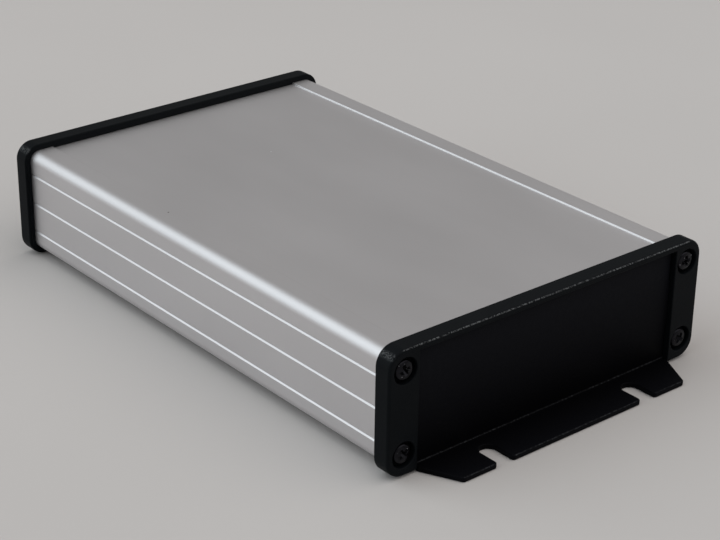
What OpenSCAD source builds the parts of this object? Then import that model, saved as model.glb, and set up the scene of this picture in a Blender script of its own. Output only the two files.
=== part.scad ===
// Extruded aluminium enclosure with a black moulded bezel and a flanged sheet panel at each end.
// X runs across the enclosure, Y along the extrusion with the front end at -Y, and Z up from the
// surface that the two mounting flanges stand on.

/* [Body extrusion] */
// Width of the extrusion
body_w = 103; // [80:0.5:160]
// Height of the extrusion
body_h = 30.5; // [26:0.5:60]
// Length of the extrusion
body_l = 160; // [60:1:220]
// Radius of the four long outer edges
body_r = 2.5; // [1.5:0.1:4.5]
// Thickness of the side walls, between the card guides
side_wall = 1.5; // [1.3:0.1:2.2]
// Thickness of the top wall outside the label recess
top_wall = 2; // [1.6:0.1:3]
// Width of the raised land on each side of the label recess, to the middle of its slope
land_w = 7.7; // [6:0.1:14]
// Depth of the label recess
recess_d = 0.45; // [0.2:0.05:0.8]
// Steepest angle of the S-shaped recess edge
recess_slope = 35; // [20:1:50]

/* [Side grooves] */
// Number of V-grooves on each side
groove_count = 3; // [1:1:4]
// Distance between the grooves
groove_pitch = 8.85; // [4:0.05:9]
// Height of the middle of the groove group above the extrusion's mid-height
groove_offset = -0.4; // [-1:0.1:1]
// Width of a groove at the surface
groove_w = 1; // [0.4:0.1:1.4]
// Depth of a groove
groove_d = 0.5; // [0.2:0.05:0.8]

/* [Card guides] */
// Number of circuit board slots on each side
slot_count = 3; // [1:1:3]
// Height of a board slot, for a 1.6 mm board
slot_h = 1.9; // [1.2:0.1:2.2]
// Thickness of the ribs between the slots
rib_t = 1.2; // [0.8:0.1:1.4]
// Reach of the ribs from the side wall
rib_reach = 2.5; // [1.5:0.1:3]

/* [Belly plate] */
// Width of the fixed sill on each side of the belly plate
sill_w = 9; // [8.4:0.1:12]
// Thickness of the sill
sill_t = 3; // [2.8:0.1:4]
// Thickness of the belly plate
plate_t = 2; // [1.8:0.1:2.4]
// Thickness of the tongue that runs in the sill groove
tongue_t = 1; // [0.8:0.1:1.2]
// Reach of the tongue into the sill
tongue_w = 1.5; // [1:0.1:2]

/* [Bezels] */
// Wall of the bezel at the sides of the extrusion
bezel_side = 1.95; // [1.2:0.05:3]
// Wall of the bezel above and below the extrusion
bezel_rail = 1.8; // [1.2:0.05:3]
// Thickness of the bezel in front of the extrusion's end
bezel_t = 3.1; // [2.9:0.1:5]
// Length of the lip that wraps around the extrusion
lip_l = 2.05; // [1.5:0.05:6]
// Radius of the bezel's outer corners
bezel_r = 5; // [2:0.1:6]
// Rounding of the bezel's front outer edge
bezel_edge_r = 0.8; // [0.2:0.1:1]
// Width of a screw strip, from the side of the extrusion to the mouth
strip_w = 7.5; // [6.8:0.1:9]
// Diameter of the screw head counterbore
counterbore_d = 7; // [6.4:0.1:7.4]
// Depth of the screw head counterbore
counterbore_h = 2; // [1.9:0.1:2.2]

/* [Flanged panels] */
// Thickness of the panel sheet
sheet_t = 1.5; // [1:0.1:1.6]
// Inside radius of the bend
bend_r = 0.8; // [0.4:0.1:2]
// Reach of the flange from the end of the extrusion
flange_reach = 13.75; // [12.5:0.25:24]
// How far each end of the flange is drawn in at its outer edge
chamfer_in = 5.2; // [1:0.1:10]
// Radius of the flange's outer corners
flange_corner_r = 1.2; // [0.5:0.1:2]
// Distance between the centres of the mounting slots
slot_spacing = 50; // [24:0.5:60]
// Width of a mounting slot
slot_w = 5; // [4.2:0.1:6]
// Depth of a mounting slot from the flange's outer edge
slot_d = 8.5; // [6:0.1:9]
// Radius of the lips at the mouth of a slot
slot_lip_r = 1; // [0.4:0.1:1.5]
// Height of the side ears that the bezel clamps
ear_h = 13; // [8:0.5:14]
// Height of the bezel above the surface that the flange lies on
foot_gap = 0.5; // [0.2:0.1:1]

/* [Screws] */
// Distance of a screw from the side of the extrusion
screw_side = 3.2; // [3:0.1:3.6]
// Distance of a screw from the top or bottom of the extrusion
screw_edge = 4; // [3.6:0.1:4.6]
// Diameter of the screw core
screw_d = 2.4; // [2:0.1:2.8]
// Length of a screw under its head
screw_l = 12; // [6:1:20]
// Length of the blunt tapered tip
screw_tip = 1.6; // [1:0.1:3]
// Diameter of a screw head
head_d = 5.9; // [5:0.1:6]
// Height of a screw head
head_h = 1.9; // [1.7:0.05:1.9]
// Height of the straight rim under the domed head
head_rim = 1.3; // [0.8:0.05:1.4]
// Span of the cross recess at the top of the head
cross_span = 3.4; // [2.6:0.1:3.6]
// Thickness of the wings of the cross recess
cross_t = 0.8; // [0.5:0.1:1]
// Depth of the cross recess
cross_d = 1.3; // [0.8:0.1:1.4]
// Outer radius of a screw channel in the extrusion
channel_r = 2.9; // [2.4:0.1:3]
// Width of the mouth along a screw channel
channel_mouth = 1.5; // [1:0.1:1.8]

/* [Fits] */
// Gap around a screw core in its channel
core_gap = 0.05; // [0.02:0.01:0.1]
// Gap around a screw core in the bezel
shank_gap = 0.4; // [0.2:0.1:0.6]
// Gap between the bezel and the extrusion it wraps
bezel_gap = 0.1; // [0.05:0.05:0.2]
// Gap between the edges of a panel and the bezel around it
panel_gap = 0.2; // [0.1:0.05:0.4]
// Gap in front of the clamped ears of a panel
clamp_gap = 0.1; // [0.05:0.05:0.2]
// Gap around the tongue and the edges of the belly plate
plate_gap = 0.1; // [0.05:0.05:0.2]

/* [Hidden] */
$fn = 64;

// Overlap that lets one cut run clear of a surface
cut = 1;
// Height of the middle of the extrusion
mid_z = foot_gap + bezel_rail + body_h / 2;
// Y of the extrusion's front end
end_y = -body_l / 2;
// Outer size of a bezel
bezel_w = body_w + 2 * bezel_side;
bezel_h = body_h + 2 * bezel_rail;
// Half-width of the bezel's mouth
mouth = body_w / 2 - strip_w;
// Half-width of the panel between the screw strips
panel_half = mouth - panel_gap;
// Screw places, measured from the middle of the end
screw_x = body_w / 2 - screw_side;
screw_z = body_h / 2 - screw_edge;
// Height of the head's seat in the bezel, in front of the extrusion's end
seat = bezel_t - counterbore_h;
core_r = screw_d / 2 + core_gap;
// The S-shaped edge of the label recess is two equal arcs
ogee_r = recess_d / (2 * (1 - cos(recess_slope)));
ogee_run = ogee_r * sin(recess_slope);
recess_half = body_w / 2 - land_w;
bend_out = sheet_t + bend_r;

// ---- shapes that several pieces share ----

// A rectangle with round corners, centred on the origin
module round_rect(w, h, r) {
    square([w - 2 * r, h], center = true);
    square([w, h - 2 * r], center = true);
    for (x = [-1, 1], y = [-1, 1])
        translate([x * (w / 2 - r), y * (h / 2 - r)]) circle(r);
}

// The sliver between a corner at the origin, open by angle a from the +X direction, and its fillet
module corner_sliver(a, r) {
    reach = r / tan(a / 2);
    centre = [reach, r];
    difference() {
        polygon([[0, 0], [reach, 0], centre, reach * [cos(a), sin(a)]]);
        translate(centre) circle(r);
    }
}

// Puts an outline drawn in XZ into a slab that runs along Y from y0 to y1
module slab(y0, y1) {
    translate([0, y1, mid_z]) rotate([90, 0, 0]) linear_extrude(y1 - y0) children();
}

module at_screws() {
    for (x = [-1, 1], z = [-1, 1]) translate([x * screw_x, z * screw_z]) children();
}

// ---- body extrusion ----

// One side of the label recess: flat floor, concave foot and convex shoulder
module recess_half_outline(d) {
    floor_y = body_h / 2 - d;
    foot = recess_half - ogee_run;
    shoulder = recess_half + ogee_run;
    translate([-cut, floor_y]) square([foot + cut, d + cut]);
    // the concave foot
    intersection() {
        translate([foot, floor_y]) square([ogee_run, d + cut]);
        translate([foot, floor_y + ogee_r]) circle(ogee_r);
    }
    // the convex shoulder
    difference() {
        translate([recess_half, floor_y + d / 2]) square([ogee_run, d / 2]);
        translate([shoulder, body_h / 2 - ogee_r]) circle(ogee_r);
    }
}

module side_groove() {
    half = groove_w / 2;
    polygon([[cut, half], [0, half], [-groove_d, 0], [0, -half], [cut, -half]]);
}

// The outer outline of the extrusion
module body_outline() {
    difference() {
        round_rect(body_w, body_h, body_r);
        for (s = [0, 1]) mirror([s, 0]) {
            recess_half_outline(recess_d);
            for (i = [0 : groove_count - 1])
                translate([body_w / 2, groove_offset + (i - (groove_count - 1) / 2) * groove_pitch])
                    side_groove();
        }
    }
}

module body_profile() {
    inner_w = body_w - 2 * side_wall;
    inner_top = body_h / 2 - top_wall;
    sill_in = body_w / 2 - sill_w;
    sill_top = -body_h / 2 + sill_t;
    rib_pitch = slot_h + rib_t;
    difference() {
        body_outline();
        // the hollow
        difference() {
            translate([-inner_w / 2, sill_top]) square([inner_w, inner_top - sill_top]);
            // screw channels, each in its own corner
            at_screws() circle(channel_r);
            // ribs that leave the board slots between them
            for (s = [-1, 1], i = [0 : slot_count])
                translate([s * (inner_w / 2 - rib_reach / 2), (i - slot_count / 2) * rib_pitch])
                    square([rib_reach, rib_t], center = true);
        }
        at_screws() circle(core_r);
        // the mouth along each channel faces the middle of the enclosure
        for (x = [-1, 1], z = [-1, 1])
            translate([x * (screw_x - channel_r / 2 - core_r / 2), z * screw_z])
                square([channel_r, channel_mouth], center = true);
        // the opening for the belly plate, and the groove along each sill
        translate([-sill_in, -body_h / 2 - cut]) square([2 * sill_in, sill_t + 2 * cut]);
        translate([-sill_in - tongue_w - plate_gap, -body_h / 2 + plate_t - tongue_t - plate_gap])
            square([2 * (sill_in + tongue_w + plate_gap), tongue_t + 2 * plate_gap]);
    }
}

module body_extrusion() {
    color([0.78, 0.78, 0.79]) slab(end_y, -end_y) body_profile();
}

// ---- belly plate ----

module belly_plate() {
    plate_half = body_w / 2 - sill_w - plate_gap;
    color([0.78, 0.78, 0.79]) slab(end_y, -end_y) translate([0, -body_h / 2]) {
        translate([-plate_half, 0]) square([2 * plate_half, plate_t]);
        translate([-plate_half - tongue_w, plate_t - tongue_t])
            square([2 * (plate_half + tongue_w), tongue_t]);
    }
}

// ---- bezel ----

// A slice across the block's rim: run wide and t high, with its outer front corner rounded
module edge_section(run, t) {
    difference() {
        square([run, t]);
        translate([run, t]) rotate(180) corner_sliver(90, bezel_edge_r);
    }
}

// A block with round corners and a rounded front edge, built of four turned corners, four straight
// sides and a core. Its back is at z = 0 and its front at z = t.
module bezel_block(t) {
    across = bezel_w / 2 - bezel_r;
    up = bezel_h / 2 - bezel_r;
    for (sx = [0, 1], sy = [0, 1]) mirror([sx, 0, 0]) mirror([0, sy, 0])
        translate([across, up, 0]) rotate_extrude(angle = 90) edge_section(bezel_r, t);
    for (s = [0, 180]) rotate(s) {
        translate([across, up, 0]) rotate([90, 0, 0])
            linear_extrude(2 * up) edge_section(bezel_r, t);
        translate([-across, up, 0]) rotate([90, 0, 90])
            linear_extrude(2 * across) edge_section(bezel_r, t);
    }
    translate([-across, -up, 0]) cube([2 * across, 2 * up, t]);
}

// The socket for the end of the extrusion: its outline with a gap, and a rib that fills the recess
module socket_outline() {
    difference() {
        round_rect(body_w + 2 * bezel_gap, body_h + 2 * bezel_gap, body_r + bezel_gap);
        for (s = [0, 1]) mirror([s, 0]) translate([-bezel_gap, bezel_gap]) recess_half_outline(recess_d);
    }
}

module ear_outline(gap) {
    square([body_w - 2 * panel_gap + 2 * gap, ear_h + 2 * gap], center = true);
}

module bezel() {
    color([0.06, 0.07, 0.07]) difference() {
        translate([0, end_y + lip_l, mid_z]) rotate([90, 0, 0]) bezel_block(bezel_t + lip_l);
        slab(end_y, end_y + lip_l + cut) socket_outline();
        // the mouth that shows the panel, open at the bottom for the flange
        slab(end_y - bezel_t - cut, end_y)
            translate([-mouth, -body_h / 2 - bezel_rail - cut])
                square([2 * mouth, body_h + bezel_rail + cut + bezel_gap]);
        // the shallow pockets that clamp the panel's ears
        slab(end_y - sheet_t - clamp_gap, end_y) ear_outline(panel_gap);
        slab(end_y - bezel_t - cut, end_y + cut) at_screws() circle(screw_d / 2 + shank_gap);
        slab(end_y - bezel_t - cut, end_y - seat) at_screws() circle(counterbore_d / 2);
    }
}

module front_bezel() { bezel(); }

module rear_bezel() { mirror([0, 1, 0]) bezel(); }

// ---- flanged panel ----

// One half of the flange's outline, with y measured outwards from the end of the extrusion
module flange_half() {
    chamfer_start = bezel_t;
    chamfer_run = flange_reach - chamfer_start;
    corner = [panel_half - chamfer_in, flange_reach];
    chamfer_angle = atan2(chamfer_run, chamfer_in);
    slot_x = slot_spacing / 2;
    slot_end = flange_reach - slot_d + slot_w / 2;
    difference() {
        polygon([
            [0, bend_out], [panel_half, bend_out], [panel_half, chamfer_start],
            corner, [0, flange_reach]
        ]);
        translate(corner) rotate(180) corner_sliver(180 - chamfer_angle, flange_corner_r);
        translate([slot_x, slot_end]) circle(slot_w / 2);
        translate([slot_x - slot_w / 2, slot_end]) square([slot_w, slot_d]);
        for (s = [0, 1]) translate([slot_x, 0]) mirror([s, 0]) translate([slot_w / 2, flange_reach])
            rotate(-90) corner_sliver(90, slot_lip_r);
    }
}

// The bend in section: a quarter ring that turns the sheet from upright to flat
module bend_section() {
    intersection() {
        difference() {
            circle(bend_out);
            circle(bend_r);
        }
        translate([0, -bend_out]) square(bend_out);
    }
}

module flanged_panel() {
    panel_top = body_h / 2 - panel_gap;
    bend_z = bend_out - mid_z;
    color([0.05, 0.05, 0.06]) {
        // upright plate with an ear on each side
        slab(end_y - sheet_t, end_y) {
            translate([-panel_half, bend_z]) square([2 * panel_half, panel_top - bend_z]);
            ear_outline(0);
        }
        translate([-panel_half, end_y - bend_out, bend_out]) rotate([90, 0, 90])
            linear_extrude(2 * panel_half) bend_section();
        for (s = [0, 1]) mirror([s, 0, 0]) translate([0, end_y, 0]) mirror([0, 1, 0])
            linear_extrude(sheet_t) flange_half();
    }
}

module front_flanged_panel() { flanged_panel(); }

module rear_flanged_panel() { mirror([0, 1, 0]) flanged_panel(); }

// ---- screw ----

// Domed head with a cross recess, its seat at z = 0 and its core below
module screw_body() {
    crown = head_h - head_rim;
    dome_r = (pow(head_d / 2, 2) + pow(crown, 2)) / (2 * crown);
    color([0.04, 0.04, 0.045]) {
        difference() {
            rotate_extrude() intersection() {
                square([head_d / 2, head_h]);
                translate([0, head_h - dome_r]) circle(dome_r);
            }
            for (a = [0, 90]) rotate(a) rotate([90, 0, 0]) linear_extrude(cross_t, center = true)
                polygon([
                    [-cross_span / 2, head_h], [-cross_t, head_h - cross_d], [cross_t, head_h - cross_d],
                    [cross_span / 2, head_h], [cross_span / 2, head_h + cut], [-cross_span / 2, head_h + cut]
                ]);
        }
        translate([0, 0, screw_tip - screw_l]) cylinder(d = screw_d, h = screw_l - screw_tip);
        translate([0, 0, -screw_l]) cylinder(d1 = screw_d / 2, d2 = screw_d, h = screw_tip);
    }
}

// Places a screw at the front end: side is -1 for left and 1 for right, level -1 for lower, 1 for upper
module end_screw(side, level) {
    translate([side * screw_x, end_y - seat, mid_z + level * screw_z]) rotate([90, 0, 0]) screw_body();
}

module front_screw_upper_left() { end_screw(-1, 1); }
module front_screw_upper_right() { end_screw(1, 1); }
module front_screw_lower_left() { end_screw(-1, -1); }
module front_screw_lower_right() { end_screw(1, -1); }

// Left and right at the rear are as seen from the front
module rear_screw_upper_left() { mirror([0, 1, 0]) end_screw(-1, 1); }
module rear_screw_upper_right() { mirror([0, 1, 0]) end_screw(1, 1); }
module rear_screw_lower_left() { mirror([0, 1, 0]) end_screw(-1, -1); }
module rear_screw_lower_right() { mirror([0, 1, 0]) end_screw(1, -1); }

body_extrusion();
belly_plate();
front_bezel();
front_flanged_panel();
front_screw_upper_left();
front_screw_upper_right();
front_screw_lower_left();
front_screw_lower_right();
rear_bezel();
rear_flanged_panel();
rear_screw_upper_left();
rear_screw_upper_right();
rear_screw_lower_left();
rear_screw_lower_right();
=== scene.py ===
import math

import bmesh
import bpy
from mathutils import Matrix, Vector


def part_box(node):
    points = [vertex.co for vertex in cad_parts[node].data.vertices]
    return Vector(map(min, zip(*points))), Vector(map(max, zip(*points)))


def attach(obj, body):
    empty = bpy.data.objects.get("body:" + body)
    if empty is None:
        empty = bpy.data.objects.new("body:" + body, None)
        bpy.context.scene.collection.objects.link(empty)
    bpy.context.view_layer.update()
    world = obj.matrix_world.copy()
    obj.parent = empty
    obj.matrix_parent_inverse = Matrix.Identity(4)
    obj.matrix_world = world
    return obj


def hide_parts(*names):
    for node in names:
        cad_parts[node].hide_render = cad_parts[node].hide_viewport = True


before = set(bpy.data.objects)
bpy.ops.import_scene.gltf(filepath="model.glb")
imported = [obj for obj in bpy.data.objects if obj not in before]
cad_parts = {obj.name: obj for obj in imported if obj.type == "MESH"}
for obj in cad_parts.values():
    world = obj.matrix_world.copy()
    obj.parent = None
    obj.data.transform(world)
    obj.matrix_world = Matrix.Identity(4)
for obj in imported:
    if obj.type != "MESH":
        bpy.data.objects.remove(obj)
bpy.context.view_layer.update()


# ---- Body extrusion ----
# One length of aluminium extrusion that forms the top, the sides and a sill along each side of the
# bottom. It is pressed through a die, so its section is the same from end to end: a shallow label
# recess, V-grooves, card guides and four screw channels. It is etched satin and clear anodised.
mm = 0.001
low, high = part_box("body_extrusion")
body_side = high.x
body_half_h = (high.z - low.z) / 2
body_mid = (high.z + low.z) / 2
body_end = high.y
body_r = 3 * mm
side_wall = 1.5 * mm
top_wall = 2 * mm
recess_d = 0.45 * mm
recess_slope = math.radians(80)
recess_half = body_side - 7.7 * mm
groove_step = 8.85 * mm
groove_drop = 0.4 * mm
groove_places = [i * groove_step - groove_drop for i in (-1, 0, 1)]
groove_half_w = 0.42 * mm
groove_d = 0.36 * mm
groove_lip_r = 0.08 * mm
rib_step = 3.1 * mm
rib_places = [i * rib_step for i in (1.5, 0.5, -0.5, -1.5)]
rib_half_t = 0.6 * mm
rib_reach = 2.5 * mm
rib_r = 0.2 * mm
screw_x = body_side - 3.2 * mm
screw_z = body_half_h - 4 * mm
channel_r = 2.9 * mm
core_r = 1.25 * mm
mouth_half = 0.75 * mm
sill_in = body_side - 9 * mm
sill_t = 3 * mm
plate_t = 2 * mm
tongue_t = 1 * mm
tongue_w = 1.5 * mm
plate_gap = 0.1 * mm
same_point = 0.001 * mm


def outline(corners, step=math.radians(5)):
    """The closed outline through (x, z, radius) corners, each rounded by its own radius.

    Where two roundings meet, their ends fall together and are kept as one point.
    """
    points = []
    for i, (x, z, r) in enumerate(corners):
        corner = Vector((x, z))
        if not r:
            points.append(corner)
            continue
        back = (Vector(corners[i - 1][:2]) - corner).normalized()
        ahead = (Vector(corners[(i + 1) % len(corners)][:2]) - corner).normalized()
        half = back.angle(ahead) / 2
        centre = corner + (back + ahead).normalized() * r / math.sin(half)
        first = corner + back * r / math.tan(half) - centre
        last = corner + ahead * r / math.tan(half) - centre
        sweep = math.pi - 2 * half
        count = max(2, math.ceil(sweep / step))
        for k in range(count + 1):
            a = sweep * k / count
            points.append(centre + (first * math.sin(sweep - a) + last * math.sin(a)) / math.sin(sweep))
    return [point for i, point in enumerate(points) if (point - points[i - 1]).length > same_point]


def arc(x, z, r, start, end, count=24):
    """Corners along an arc about (x, z), from the angle start to the angle end."""
    angles = [start + (end - start) * k / count for k in range(count + 1)]
    return [(x + r * math.cos(a), z + r * math.sin(a), 0) for a in angles]


def half_section():
    """Half of the section, from the middle of the top clockwise to the middle of its underside."""
    ogee_r = recess_d / (2 * (1 - math.cos(recess_slope)))
    ogee_run = ogee_r * (math.sin(recess_slope) - math.tan(recess_slope / 2))
    corners = [
        (recess_half - ogee_run, body_half_h - recess_d, ogee_r),
        (recess_half + ogee_run, body_half_h, ogee_r),
        (body_side, body_half_h, body_r),
    ]
    for z in reversed(groove_places):
        corners += [
            (body_side, z + groove_half_w, groove_lip_r),
            (body_side - groove_d, z, groove_lip_r),
            (body_side, z - groove_half_w, groove_lip_r),
        ]
    inner_side = body_side - side_wall
    inner_top = body_half_h - top_wall
    groove_top = -body_half_h + plate_t + plate_gap
    groove_floor = groove_top - tongue_t - 2 * plate_gap
    groove_side = sill_in + tongue_w + plate_gap
    corners += [
        (body_side, -body_half_h, body_r),
        (sill_in, -body_half_h, rib_r),
        (sill_in, groove_floor, rib_r),
        (groove_side, groove_floor, 0),
        (groove_side, groove_top, 0),
        (sill_in, groove_top, rib_r),
        (sill_in, -body_half_h + sill_t, rib_r),
    ]
    corners += channel(-screw_z, sill_t - body_half_h, inner_side)
    for z in reversed(rib_places):
        corners += [
            (inner_side, z - rib_half_t, 0),
            (inner_side - rib_reach, z - rib_half_t, rib_r),
            (inner_side - rib_reach, z + rib_half_t, rib_r),
            (inner_side, z + rib_half_t, 0),
        ]
    corners += channel(screw_z, inner_top, inner_side)[::-1]
    return corners


def channel(z, level, side):
    """A screw channel, from the sill or ceiling at that level round to the side wall."""
    s = 1 if z > 0 else -1
    to_level = math.pi - math.asin((level - z) / channel_r * s)
    to_side = math.acos((side - screw_x) / channel_r)
    outer = math.asin(mouth_half / channel_r)
    inner = math.asin(mouth_half / core_r)
    # the radius, start, end and number of steps of each arc
    runs = (
        (channel_r, to_level, math.pi - outer, 12),
        (core_r, math.pi - inner, inner - math.pi, 48),
        (channel_r, math.pi + outer, 2 * math.pi - to_side, 24),
    )
    return [corner for r, a, b, n in runs for corner in arc(screw_x, z, r, s * a, s * b, n)]


def loft(name, rings):
    """A closed mesh through rings of equally many points, with a cap at each end."""
    mesh = bmesh.new()
    loops = [[mesh.verts.new(point) for point in ring] for ring in rings]
    for a, b in zip(loops, loops[1:]):
        for i in range(len(a)):
            mesh.faces.new((a[i - 1], a[i], b[i], b[i - 1]))
    mesh.faces.new(reversed(loops[0]))
    mesh.faces.new(loops[-1])
    return make_piece(name, mesh)


def make_piece(name, mesh):
    """An object made from a mesh, with all faces turned outwards."""
    bmesh.ops.recalc_face_normals(mesh, faces=mesh.faces)
    data = bpy.data.meshes.new(name)
    mesh.to_mesh(data)
    mesh.free()
    piece = bpy.data.objects.new(name, data)
    bpy.context.scene.collection.objects.link(piece)
    return piece


def settle(piece):
    """Makes the result of a piece's modifiers its own mesh."""
    shape = bpy.data.meshes.new_from_object(piece.evaluated_get(bpy.context.evaluated_depsgraph_get()))
    piece.modifiers.clear()
    piece.data = shape


def finish_piece(piece, material, node, sharp=math.radians(35)):
    """Shades a piece, with its flats kept flat, and puts it in the place of its CAD node."""
    piece.data.shade_smooth()
    piece.data.set_sharp_from_angle(angle=sharp)
    weighted = piece.modifiers.new("flats", "WEIGHTED_NORMAL")
    weighted.keep_sharp = True
    settle(piece)
    piece.data.materials.clear()
    piece.data.materials.append(material)
    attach(piece, "root")
    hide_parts(node)


class Field:
    """A shader socket, or a number that changes over a surface, for use in expressions."""

    def __init__(self, socket):
        self.socket = socket

    def node(self, kind, settings, inputs, output=0):
        """Adds a node of a kind to the same material, and gives one of its outputs."""
        made = self.socket.id_data.nodes.new(kind)
        for name, setting in settings.items():
            setattr(made, name, setting)
        for name, given in inputs.items():
            if isinstance(given, Field):
                self.socket.id_data.links.new(given.socket, made.inputs[name])
            else:
                made.inputs[name].default_value = given
        return Field(made.outputs[output])

    def math(self, operation, other, first=0):
        """This value and another in a maths node, with this one put first or second."""
        return self.node("ShaderNodeMath", {"operation": operation}, {first: self, 1 - first: other})

    def __add__(self, other):
        return self.math("ADD", other)

    def __radd__(self, other):
        return self.math("ADD", other, first=1)

    def __sub__(self, other):
        return self.math("SUBTRACT", other)

    def __rsub__(self, other):
        return self.math("SUBTRACT", other, first=1)

    def __mul__(self, other):
        return self.math("MULTIPLY", other)

    def __rmul__(self, other):
        return self.math("MULTIPLY", other, first=1)

    def clamped(self):
        """This value, held between 0 and 1."""
        return self.node("ShaderNodeClamp", {}, {"Value": self})

    def mix(self, dark, light):
        """Goes from one colour to another as this value goes from 0 to 1."""
        ends = [end if isinstance(end, Field) else (*end, 1) for end in (dark, light)]
        inputs = {0: self, 6: ends[0], 7: ends[1]}
        return self.node("ShaderNodeMix", {"data_type": "RGBA"}, inputs, output=2)

    def noise(self, scale, detail=2):
        """Noise over this vector, around 0 from about -0.5 to 0.5."""
        inputs = {"Vector": self, "Scale": scale, "Detail": detail}
        return self.node("ShaderNodeTexNoise", {}, inputs) - 0.5

    def stretched(self, along):
        """This vector with each axis scaled."""
        return self.node("ShaderNodeVectorMath", {"operation": "MULTIPLY"}, {0: self, 1: along})

    def near_lines(self, lines, reach, soft):
        """1 close to any of the lines, each (axis it runs along, point on it), and 0 out of reach."""
        shown = 0
        for along, point in lines:
            flat = [0 if axis == along else 1 for axis in range(3)]
            inputs = {0: self.stretched(flat), 1: [a * b for a, b in zip(point, flat)]}
            gap = self.node("ShaderNodeVectorMath", {"operation": "DISTANCE"}, inputs, output=1)
            shown = ((reach - gap) * (1 / soft)).clamped() + shown
        return shown.clamped()

    def bump(self, distance):
        """The surface normal where this value is the height, and 1 is a distance in metres."""
        return self.node("ShaderNodeBump", {}, {"Height": self, "Distance": distance, "Strength": 1})


def new_material(name, **constants):
    """A material, its shader with the given constants, and the place on the surface."""
    material = bpy.data.materials.new(name)
    material.use_nodes = True
    shader = material.node_tree.nodes["Principled BSDF"]
    for socket, constant in constants.items():
        shader.inputs[socket.replace("_", " ")].default_value = constant
    place = material.node_tree.nodes.new("ShaderNodeTexCoord").outputs["Object"]
    return material, shader, Field(place)


def join(shader, **fields):
    """Links fields to a shader's sockets, with _ for a space in a socket's name."""
    for name, field in fields.items():
        shader.id_data.links.new(field.socket, shader.inputs[name.replace("_", " ")])


etch_depth = 0.005 * mm
metal_dark = (0.613, 0.6, 0.609)
metal_light = (0.693, 0.679, 0.69)
speck_r = 0.3 * mm
speck_soft = 0.15 * mm
# the x, y and colour of a grain of dust and of a dark fleck on the top
specks = ((4 * mm, 37 * mm, (0.9, 0.91, 0.93)), (-44.6 * mm, 18.5 * mm, (0.12, 0.11, 0.1)))
anodised, shader, place = new_material("anodised_aluminium", Metallic=1)
die_lines = place.stretched((1, 0.004, 1)).noise(3200)
grain = place.noise(5200)
patches = place.stretched((1, 0.4, 1)).noise(38)
metal = (0.5 + patches + grain * 0.5).mix(metal_dark, metal_light)
for x, y, tone in specks:
    speck = place.near_lines([(2, (x, y, 0))], speck_r, speck_soft)
    metal = speck.mix(metal, tone)
join(
    shader,
    Base_Color=metal,
    Roughness=0.49 + die_lines * 0.05 + grain * 0.05 + patches * 0.03,
    Normal=(die_lines * 0.5 + grain).bump(etch_depth),
)
right_half = half_section()
left_half = [(-x, z, r) for x, z, r in reversed(right_half)]
section = outline(right_half + left_half)
ends = [[(p.x, y, body_mid + p.y) for p in section] for y in (-body_end, body_end)]
body = loft("extruded_body", ends)
finish_piece(body, anodised, "body_extrusion")


# ---- Belly plate ----
# A flat aluminium extrusion that closes the bottom. Its two tongues run in the grooves of the body's
# sills, so that it slides in from one end, and the bezels keep it there. It has the body's finish.
low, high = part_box("belly_plate")
plate_side = sill_in - plate_gap
plate_edge_r = 0.2 * mm
tongue_top = low.z + plate_t
right_half = [
    (plate_side, low.z, plate_edge_r),
    (plate_side, tongue_top - tongue_t, 0),
    (high.x, tongue_top - tongue_t, plate_edge_r),
    (high.x, tongue_top, plate_edge_r),
]
section = outline(right_half + [(-x, z, r) for x, z, r in reversed(right_half)])
plate = loft("sliding_belly_plate", [[(p.x, y, p.y) for p in section] for y in (low.y, high.y)])
finish_piece(plate, anodised, "belly_plate")


# ---- Flanged panels ----
# The end panels are cut from 1.5 mm sheet, bent out at the bottom into a flange with two open
# mounting slots, and powder coated black. Ears at their sides are clamped behind the bezels.
low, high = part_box("front_flanged_panel")
sheet_t = 1.5 * mm
bend_r = 0.5 * mm
ear_half_h = 6.5 * mm
ear_r = 0.5 * mm
strip_w = 7.5 * mm
panel_gap = 0.2 * mm
panel_half = body_side - strip_w - panel_gap
bezel_t = 3.1 * mm
flange_out = -low.y
flange_corner = panel_half - 5.2 * mm
flange_corner_r = 1.2 * mm
flange_root_r = 0.6 * mm
slot_x = 25 * mm
slot_half_w = 2.5 * mm
# just under half the width, which leaves a trace of a flat between the slot's two roundings
slot_end_r = slot_half_w * 0.999
slot_d = 8.5 * mm
slot_lip_r = 1 * mm
coat_edge_r = 0.35 * mm
coat_edge_steps = 4
bend_steps = 12


def plate_corners(top, ear_x, foot):
    """The upright plate, from the foot of its right side over the top to the foot of its left side."""
    right = [
        (panel_half, foot, 0),
        (panel_half, body_mid - ear_half_h, ear_r),
        (ear_x, body_mid - ear_half_h, ear_r),
        (ear_x, body_mid + ear_half_h, ear_r),
        (panel_half, body_mid + ear_half_h, ear_r),
        (panel_half, top, ear_r),
    ]
    return right + [(-x, z, r) for x, z, r in reversed(right)]


def flange_corners(inner):
    """The flange, from the inner end of its left side round to the inner end of its right side."""
    right = [
        (slot_x - slot_half_w, flange_out - slot_d, slot_end_r),
        (slot_x - slot_half_w, flange_out, slot_lip_r),
        (0, flange_out, 0),
    ]
    right = [
        (panel_half, inner, 0),
        (panel_half, body_end + bezel_t, flange_root_r),
        (flange_corner, flange_out, flange_corner_r),
        (slot_x + slot_half_w, flange_out, slot_lip_r),
        (slot_x + slot_half_w, flange_out - slot_d, slot_end_r),
    ] + right
    left = [(-x, y, r) for x, y, r in right[:-1]]
    return left + right[::-1]


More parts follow.
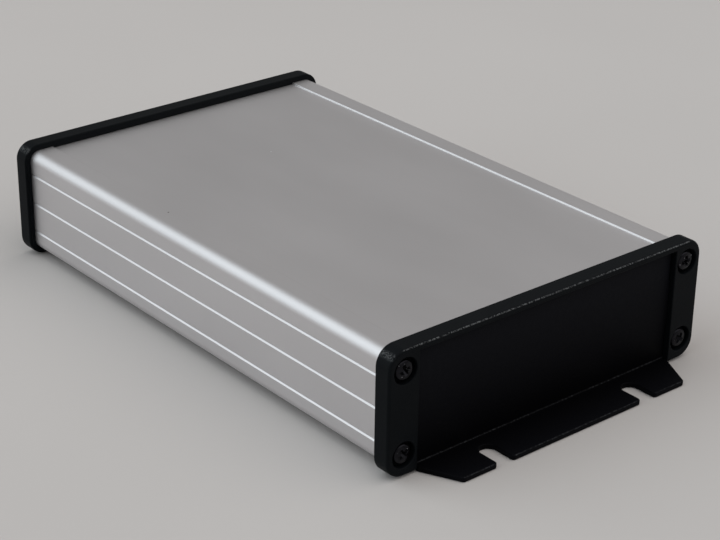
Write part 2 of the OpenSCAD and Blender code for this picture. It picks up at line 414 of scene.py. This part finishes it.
def bent_panel(name, end):
    """A panel at the end where y has the sign of end, made as two skins joined around their rim."""
    bend_out = bend_r + sheet_t
    mesh = bmesh.new()
    skins = []
    for depth in (0, sheet_t):
        plate_y = end * (body_end + sheet_t - depth)
        upright = outline(plate_corners(high.z, high.x, bend_out))
        radius = bend_r + depth
        turns = [math.pi / 2 * k / bend_steps for k in range(1, bend_steps)]
        rows = [
            (end * (body_end + bend_out - radius * math.cos(a)), bend_out - radius * math.sin(a))
            for a in turns
        ]
        flat = outline(flange_corners(body_end + bend_out))
        upright_ring = [mesh.verts.new((p.x, plate_y, p.y)) for p in upright]
        flat_ring = [mesh.verts.new((p.x, end * p.y, sheet_t - depth)) for p in flat]
        pairs = [[mesh.verts.new((s * panel_half, y, z)) for s in (-1, 1)] for y, z in rows]
        pairs = [[upright_ring[-1], upright_ring[0]], *pairs, [flat_ring[0], flat_ring[-1]]]
        mesh.faces.new(upright_ring)
        mesh.faces.new(flat_ring)
        for a, b in zip(pairs, pairs[1:]):
            mesh.faces.new((a[0], a[1], b[1], b[0]))
        left_rim = [pair[0] for pair in pairs[1:-1]]
        right_rim = [pair[1] for pair in pairs[-2:0:-1]]
        skins.append(upright_ring + left_rim + flat_ring + right_rim)
    for i in range(len(skins[0])):
        mesh.faces.new((skins[0][i - 1], skins[0][i], skins[1][i], skins[1][i - 1]))
    return make_piece(name, mesh)


def round_edges(piece, radius, steps, angle=math.radians(50)):
    """Rounds the edges of a piece that turn by more than an angle."""
    bevel = piece.modifiers.new("edges", "BEVEL")
    bevel.width = radius
    bevel.segments = steps
    bevel.limit_method = "ANGLE"
    bevel.angle_limit = angle
    bevel.use_clamp_overlap = False
    settle(piece)


coat_depth = 0.045 * mm
coat_dark = (0.0052, 0.0055, 0.0074)
coat_light = (0.0074, 0.0078, 0.0102)
coat_shaded = (0.0016, 0.0016, 0.0022)
coat_highlight = (0.11, 0.115, 0.125)
lip_reach = 0.3 * mm
lip_soft = 0.15 * mm
bend_reach = 0.33 * mm
bend_soft = 0.1 * mm
# painted shade: the coat is painted darker near the bend, fading out over the height of the panel, for
# the shade of the flange on the panel's foot
shade_reach = 26 * mm
shade_soft = 24 * mm
powder, shader, place = new_material("powder_coat", Specular_IOR_Level=0.03)
pimples = place.noise(2600, 3)
flow = place.noise(700)
lips = [(0, (0, end * flange_out, sheet_t)) for end in (-1, 1)]
bends = [(0, (0, end * (body_end + sheet_t), sheet_t)) for end in (-1, 1)]
# painted highlight: pale speckled lines painted along the flange's outer edge and along the bend,
# standing in for the light caught on those rounded edges
painted_highlight = place.near_lines(lips, lip_reach, lip_soft) * 0.5
painted_highlight = painted_highlight + place.near_lines(bends, bend_reach, bend_soft) * 0.35
speckle = (0.1 + pimples * 4).clamped()
painted_shade = place.near_lines(bends, shade_reach, shade_soft)
dark = painted_shade.mix((0.5 + flow).mix(coat_dark, coat_light), coat_shaded)
join(
    shader,
    Base_Color=(painted_highlight * speckle).mix(dark, coat_highlight),
    Roughness=0.5 + pimples * 0.15,
    Normal=(pimples + flow * 0.6).bump(coat_depth),
)
for end, side in (("front", -1), ("rear", 1)):
    panel = bent_panel(end + "_bent_panel", side)
    round_edges(panel, coat_edge_r, coat_edge_steps)
    finish_piece(panel, powder, end + "_flanged_panel")


# ---- Bezels ----
# Each bezel is one black plastic moulding that wraps the end of the extrusion and clamps the panel's
# ears. Its two wide strips hold counterbored screw holes, and its mouth is open at the bottom.
low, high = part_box("front_bezel")
bezel_half_w = high.x
bezel_half_h = (high.z - low.z) / 2
lip_end = -high.y
bezel_face = -low.y
bezel_r = 5 * mm
front_edge_r = 0.8 * mm
back_edge_r = 0.35 * mm
bezel_gap = 0.1 * mm
clamp_gap = 0.1 * mm
ear_gap = 0.2 * mm
mouth = body_side - strip_w
mouth_top = body_half_h + bezel_gap
mouth_edge_r = 0.3 * mm
mouth_edge_steps = 5
mouth_corner_r = 0.2 * mm
counterbore_r = 3.5 * mm
counterbore_d = 2 * mm
seat = bezel_face - counterbore_d
hole_r = 1.6 * mm
# how far behind the extrusion's end the mouth and the screw holes start, and the ears' pocket
cut_in = 1 * mm
pocket_in = 0.5 * mm
# how far a cutter runs out of the bezel
past = 2 * mm


def rounded_ring(half_w, top, bottom, r, y):
    """A ring with rounded corners in the upright plane at y."""
    corners = [(half_w, bottom, r), (half_w, top, r), (-half_w, top, r), (-half_w, bottom, r)]
    return [(p.x, y, body_mid + p.y) for p in outline(corners)]


def quarter_turn(r, count=8):
    """(how far in, how far on) along a quarter circle of radius r, from its side to its top."""
    angles = [math.pi / 2 * k / count for k in range(count + 1)]
    return [(r - r * math.cos(a), r * math.sin(a)) for a in angles]


def bezel_block(name, end):
    """The outside of the bezel, with its front and back edges rounded."""
    steps = [(inset, lip_end + back_edge_r - on) for inset, on in quarter_turn(back_edge_r)][::-1]
    steps += [(inset, bezel_face - front_edge_r + on) for inset, on in quarter_turn(front_edge_r)]
    rings = []
    for inset, y in steps:
        half_w, half_h = bezel_half_w - inset, bezel_half_h - inset
        rings.append(rounded_ring(half_w, half_h, -half_h, bezel_r - inset, end * y))
    return loft(name, rings)


def mouth_cutter(end):
    """The mouth, flared at the front so that its edge comes out rounded.

    It starts behind the extrusion's end, so it also takes cut_in off the bottom lip and the rib.
    """
    steps = [(0, body_end - cut_in)]
    steps += [
        (out, bezel_face - mouth_edge_r + on)
        for out, on in quarter_turn(mouth_edge_r, mouth_edge_steps)
    ]
    steps.append((mouth_edge_r, bezel_face + past))
    bottom = -bezel_half_h - past
    rings = [
        rounded_ring(mouth + out, mouth_top + out, bottom, mouth_corner_r, end * y)
        for out, y in steps
    ]
    return loft("mouth", rings)


def socket_cutter(end):
    """The socket for the extrusion's end, with a rib left that lies in the label recess."""
    ogee_r = recess_d / (2 * (1 - math.cos(recess_slope)))
    ogee_run = ogee_r * (math.sin(recess_slope) - math.tan(recess_slope / 2))
    half_h = body_half_h + bezel_gap
    right = [
        (body_side + bezel_gap, -half_h, body_r + bezel_gap),
        (body_side + bezel_gap, half_h, body_r + bezel_gap),
        (recess_half + ogee_run - bezel_gap, half_h, ogee_r),
        (recess_half - ogee_run - bezel_gap, half_h - recess_d, ogee_r),
    ]
    section = outline(right + [(-x, z, r) for x, z, r in reversed(right)])
    ends = (lip_end - past, body_end)
    return loft("socket", [[(p.x, end * y, body_mid + p.y) for p in section] for y in ends])


def pocket_cutter(end):
    """The shallow pocket behind the strips that clamps the panel's ears."""
    half_h = ear_half_h + ear_gap
    ends = (body_end - pocket_in, body_end + sheet_t + clamp_gap)
    return loft("ear_pocket", [rounded_ring(body_side, half_h, -half_h, ear_r, end * y) for y in ends])


def turned(name, x, z, end, profile, count=64):
    """A turned shape about the screw place (x, z), through (radius, y) steps."""
    angles = [2 * math.pi * k / count for k in range(count)]
    rings = [
        [(x + r * math.cos(a), end * y, z + r * math.sin(a)) for a in angles]
        for r, y in profile
    ]
    return loft(name, rings)


def screw_cutter(end, x, z):
    """A screw's hole and its counterbore, flared at the face so that its edge comes out rounded."""
    profile = [(hole_r, body_end - cut_in), (hole_r, seat), (counterbore_r, seat)]
    profile += [
        (counterbore_r + out, bezel_face - mouth_edge_r + on)
        for out, on in quarter_turn(mouth_edge_r, mouth_edge_steps)
    ]
    profile.append((counterbore_r + mouth_edge_r, bezel_face + past))
    return turned("screw_hole", x, z, end, profile)


def cut(piece, cutters):
    """Cuts each cutter out of a piece."""
    for cutter in cutters:
        step = piece.modifiers.new("cut", "BOOLEAN")
        step.solver = "EXACT"
        step.operation = "DIFFERENCE"
        step.object = cutter
    settle(piece)
    for cutter in cutters:
        bpy.data.objects.remove(cutter)


spark_depth = 0.035 * mm
plastic_dark = (0.0028, 0.0038, 0.0048)
plastic_light = (0.0054, 0.0066, 0.008)
plastic_highlight = (0.12, 0.125, 0.13)
edge_reach = 0.44 * mm
edge_soft = 0.08 * mm
corner_reach = 2.5 * mm
corner_soft = 0.5 * mm
plastic, shader, place = new_material("moulded_plastic", Specular_IOR_Level=0.05)
spark = place.noise(2400, 3)
flow = place.noise(120)
edges = [(0, (0, end * bezel_face, high.z)) for end in (-1, 1)]
corners = [(1, (side * bezel_half_w, 0, high.z)) for side in (-1, 1)]
# painted highlight: pale speckled bands painted along the top edge of each bezel's face and along its
# two top corners, standing in for the light caught there
painted_highlight = place.near_lines(edges, edge_reach, edge_soft)
painted_highlight = painted_highlight + place.near_lines(corners, corner_reach, corner_soft) * 0.8
speckle = (0.35 + spark * 4.5).clamped()
dark = (0.5 + flow + spark).mix(plastic_dark, plastic_light)
join(
    shader,
    Base_Color=(painted_highlight.clamped() * speckle).mix(dark, plastic_highlight),
    Roughness=0.5 + spark * 0.16 + flow * 0.04,
    Normal=spark.bump(spark_depth),
)
screw_places = [(x, body_mid + z) for z in (screw_z, -screw_z) for x in (-screw_x, screw_x)]
for end, side in (("front", -1), ("rear", 1)):
    bezel = bezel_block(end + "_moulded_bezel", side)
    cutters = [socket_cutter(side), mouth_cutter(side), pocket_cutter(side)]
    cutters += [screw_cutter(side, x, z) for x, z in screw_places]
    cut(bezel, cutters)
    finish_piece(bezel, plastic, end + "_bezel")


# ---- Screws ----
# Eight self-tapping pan-head screws with a cross recess, cold formed in steel and blackened. Each one
# passes through a bezel and cuts its thread into a channel of the extrusion.
head_r = 2.7 * mm
head_h = 1.9 * mm
head_rim = 1.3 * mm
head_foot_r = 0.15 * mm
head_edge_r = 0.8 * mm
head_edge_rise = head_edge_r * 0.9
head_edge_steps = 8
dome_steps = 12
core = 1.2 * mm
screw_l = 12 * mm
screw_tip = 1.6 * mm
cross_over = 0.5 * mm
cross_over_half = 2.25 * mm
cross_over_t = 0.605 * mm
cross_floor_half = 0.55 * mm
cross_floor_t = 0.33 * mm
cross_d = 1.3 * mm
screw_edge_r = 0.06 * mm
screw_edge_steps = 2


def screw_profile():
    """(radius, height) from the tip to the top of the head, with the seat at height 0."""
    crown = head_h - head_rim
    dome_r = (head_r ** 2 + crown ** 2) / (2 * crown)
    steps = [(core / 2, -screw_l), (core, screw_tip - screw_l), (core, 0)]
    steps += [(head_r - head_foot_r, 0), (head_r, head_foot_r)]
    join_r = head_r - head_edge_r
    join_h = head_h - dome_r + math.sqrt(dome_r ** 2 - join_r ** 2)
    for k in range(head_edge_steps + 1):
        a = math.pi / 2 * k / head_edge_steps
        height = join_h - head_edge_rise * (1 - math.sin(a))
        steps.append((join_r + head_edge_r * math.cos(a), height))
    for k in range(1, dome_steps):
        r = join_r * (1 - k / dome_steps)
        steps.append((r, head_h - dome_r + math.sqrt(dome_r ** 2 - r ** 2)))
    return steps


def cross_cutter(end, x, z, turn):
    """The two crossing wings of the recess, narrower and shorter towards their floor."""
    wings = []
    levels = (
        (seat + head_h - cross_d, cross_floor_half, cross_floor_t),
        (seat + head_h + cross_over, cross_over_half, cross_over_t),
    )
    for angle in (turn, turn + math.pi / 2):
        rings = []
        for y, reach, half_t in levels:
            ring = []
            for u, v in ((reach, half_t), (-reach, half_t), (-reach, -half_t), (reach, -half_t)):
                across = u * math.cos(angle) - v * math.sin(angle)
                up = u * math.sin(angle) + v * math.cos(angle)
                ring.append((x + across, end * y, z + up))
            rings.append(ring)
        wings.append(loft("cross_wing", rings))
    return wings


oxide_depth = 0.02 * mm
oxide_dark = (0.009, 0.009, 0.011)
oxide_light = (0.024, 0.024, 0.028)
glint_steel = (0.75, 0.76, 0.8)
blackened, shader, place = new_material("blackened_steel", Metallic=1)
tone = place.noise(900)
# painted glints: scattered pale steel spots painted into the blackened colour, standing in for small
# glints of light
painted_glints = (place.noise(1300) * 12 - 2.3).clamped()
dark = (0.5 + tone).mix(oxide_dark, oxide_light)
join(
    shader,
    Base_Color=painted_glints.mix(dark, glint_steel),
    Roughness=0.3 + tone * 0.12,
    Normal=place.noise(2500).bump(oxide_depth),
)
# how far round each screw came to rest, in radians
turns = (0.35, 0.12, 0.6, 0.95, 0.2, 0.7, 1.1, 0.45)
for i, turn in enumerate(turns):
    end, side = (("front", -1), ("rear", 1))[i // 4]
    x, z = screw_places[i % 4]
    level = "upper" if i % 4 < 2 else "lower"
    hand = "left" if x < 0 else "right"
    steps = [(r, seat + height) for r, height in screw_profile()]
    screw = turned(f"{end}_{level}_{hand}_screw", x, z, side, steps)
    cut(screw, cross_cutter(side, x, z, turn))
    round_edges(screw, screw_edge_r, screw_edge_steps)
    finish_piece(screw, blackened, f"{end}_screw_{level}_{hand}")


# ---- Floor, light and camera ----
# A plain pale floor, one very broad soft light behind the left side and a weaker one above the
# front right, in an even grey room. The long lens looks down on the front left corner.
floor_half = 40000 * mm
floor_drop = 0.02 * mm
floor_dark = (0.527, 0.504, 0.494)
floor_light = (0.568, 0.544, 0.533)
room_grey = (0.29, 0.285, 0.28)
floor_mesh = bmesh.new()
bmesh.ops.create_grid(floor_mesh, x_segments=1, y_segments=1, size=floor_half)
floor = make_piece("floor", floor_mesh)
floor.location.z = -floor_drop
pale, shader, place = new_material("floor_paint", Roughness=0.9, Specular_IOR_Level=0.1)
cloud = place.noise(6)
join(shader, Base_Color=(0.5 + cloud).mix(floor_dark, floor_light))
floor.data.materials.append(pale)

room = bpy.data.worlds.new("room")
room.use_nodes = True
room.node_tree.nodes["Background"].inputs["Color"].default_value = (*room_grey, 1)
bpy.context.scene.world = room


def softbox(name, direction, spread, strength, colour):
    """A soft light from a direction, spread over some degrees, as even as a large softbox far off."""
    data = bpy.data.lights.new(name, "SUN")
    data.angle = math.radians(spread)
    data.energy = strength
    data.color = colour
    lamp = bpy.data.objects.new(name, data)
    lamp.rotation_euler = Vector(direction).to_track_quat("Z", "Y").to_euler()
    bpy.context.scene.collection.objects.link(lamp)


softbox("window", (-1.08, 0.7, 1.0), spread=74, strength=1.48, colour=(0.87, 0.96, 1))
softbox("overhead", (0.5, -0.5, 1.2), spread=82, strength=1.25, colour=(1, 0.975, 0.95))

lens = bpy.data.cameras.new("lens")
lens.lens = 97.1
camera = bpy.data.objects.new("camera", lens)
camera.location = (-0.31109, -0.37885, 0.24243)
camera.rotation_euler = [math.radians(a) for a in (64.591, -0.7248, -39.681)]
bpy.context.scene.collection.objects.link(camera)
bpy.context.scene.camera = camera
bpy.context.scene.view_settings.view_transform = "Standard"
